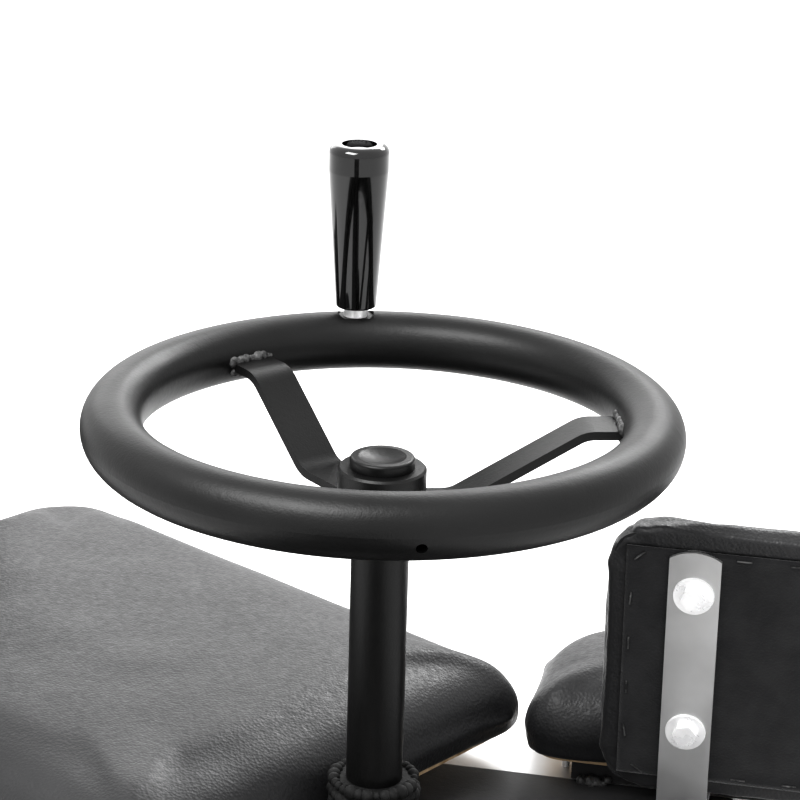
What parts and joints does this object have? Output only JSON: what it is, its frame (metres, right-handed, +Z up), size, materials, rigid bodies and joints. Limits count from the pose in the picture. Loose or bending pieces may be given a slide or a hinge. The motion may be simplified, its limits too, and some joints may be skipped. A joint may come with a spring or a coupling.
{
  "type": "merry go round",
  "caption": "Small seated merry go round: padded seats on a turning deck round a fixed grab wheel with an upright revolving hand grip.",
  "frame": {"origin": "on the spindle axis at floor level, under the base plate", "axes": "+Z up along the spindle; +X along the deck edge towards the right-hand seat"},
  "size_m": [0.9246, 1.041, 0.7166],
  "materials": {
    "satin_black": "satin, fine texture",
    "dark_grey": "satin",
    "light_bar": "satin",
    "zinc": "bright",
    "vinyl": "satin grain",
    "plywood": "matt",
    "rubber": "matt",
    "grip_black": "gloss",
    "bronze": "turned",
    "bright_steel": "ground"
  },
  "bodies": {
    "base": {"base_plate": "dark_grey", "leg_caps": "rubber", "leg_feet": "rubber", "pillar": "dark_grey", "pillar_cap": "dark_grey", "spindle": "bright_steel", "bearing_spacer": "bright_steel", "lower_inner_race": "bright_steel", "upper_inner_race": "bright_steel", "bearing_balls": "bright_steel", "hub_collar": "satin_black", "hub_cap": "satin_black", "rim": "satin_black", "spoke_1": "satin_black", "spoke_2": "satin_black", "spoke_3": "satin_black", "spoke_welds": "satin_black", "grip_pin": "zinc", "grip_nut": "zinc", "base_leg_1": "dark_grey", "base_leg_2": "dark_grey", "base_leg_3": "dark_grey", "base_leg_4": "dark_grey"},
    "rotor": {"arms": "dark_grey", "bearer": "dark_grey", "bearer_weld": "dark_grey", "deck_plate": "dark_grey", "hub_ribs": "dark_grey", "lower_outer_race": "bright_steel", "post": "satin_black", "post_boot": "rubber", "post_bush": "bronze", "rail_brackets": "dark_grey", "rails": "light_bar", "rotor_hub": "dark_grey", "seat_a_back_board": "plywood", "seat_a_back_pad": "vinyl", "seat_a_board": "plywood", "seat_a_bolts": "zinc", "seat_a_cushion": "vinyl", "seat_a_straps": "light_bar", "seat_a_washers": "zinc", "seat_b_back_board": "plywood", "seat_b_back_pad": "vinyl", "seat_b_board": "plywood", "seat_b_bolts": "zinc", "seat_b_cushion": "vinyl", "seat_b_straps": "light_bar", "seat_b_washers": "zinc", "seat_c_back_board": "plywood", "seat_c_back_pad": "vinyl", "seat_c_board": "plywood", "seat_c_bolts": "zinc", "seat_c_cushion": "vinyl", "seat_c_straps": "light_bar", "seat_c_washers": "zinc", "seat_stud": "zinc", "upper_outer_race": "bright_steel"},
    "grip": {"grip": "grip_black", "grip_sleeve": "bronze"}
  },
  "joints": [
    {"name": "rotor_turn", "type": "hinge", "parent": "base", "child": "rotor", "pos_m": [0, 0, 0.3], "axis": [0, 0, 1], "continuous": true},
    {"name": "grip_turn", "type": "hinge", "parent": "base", "child": "grip", "pos_m": [-0.0476, 0.14225, 0.66], "axis": [0, 0, 1], "continuous": true}
  ]
}
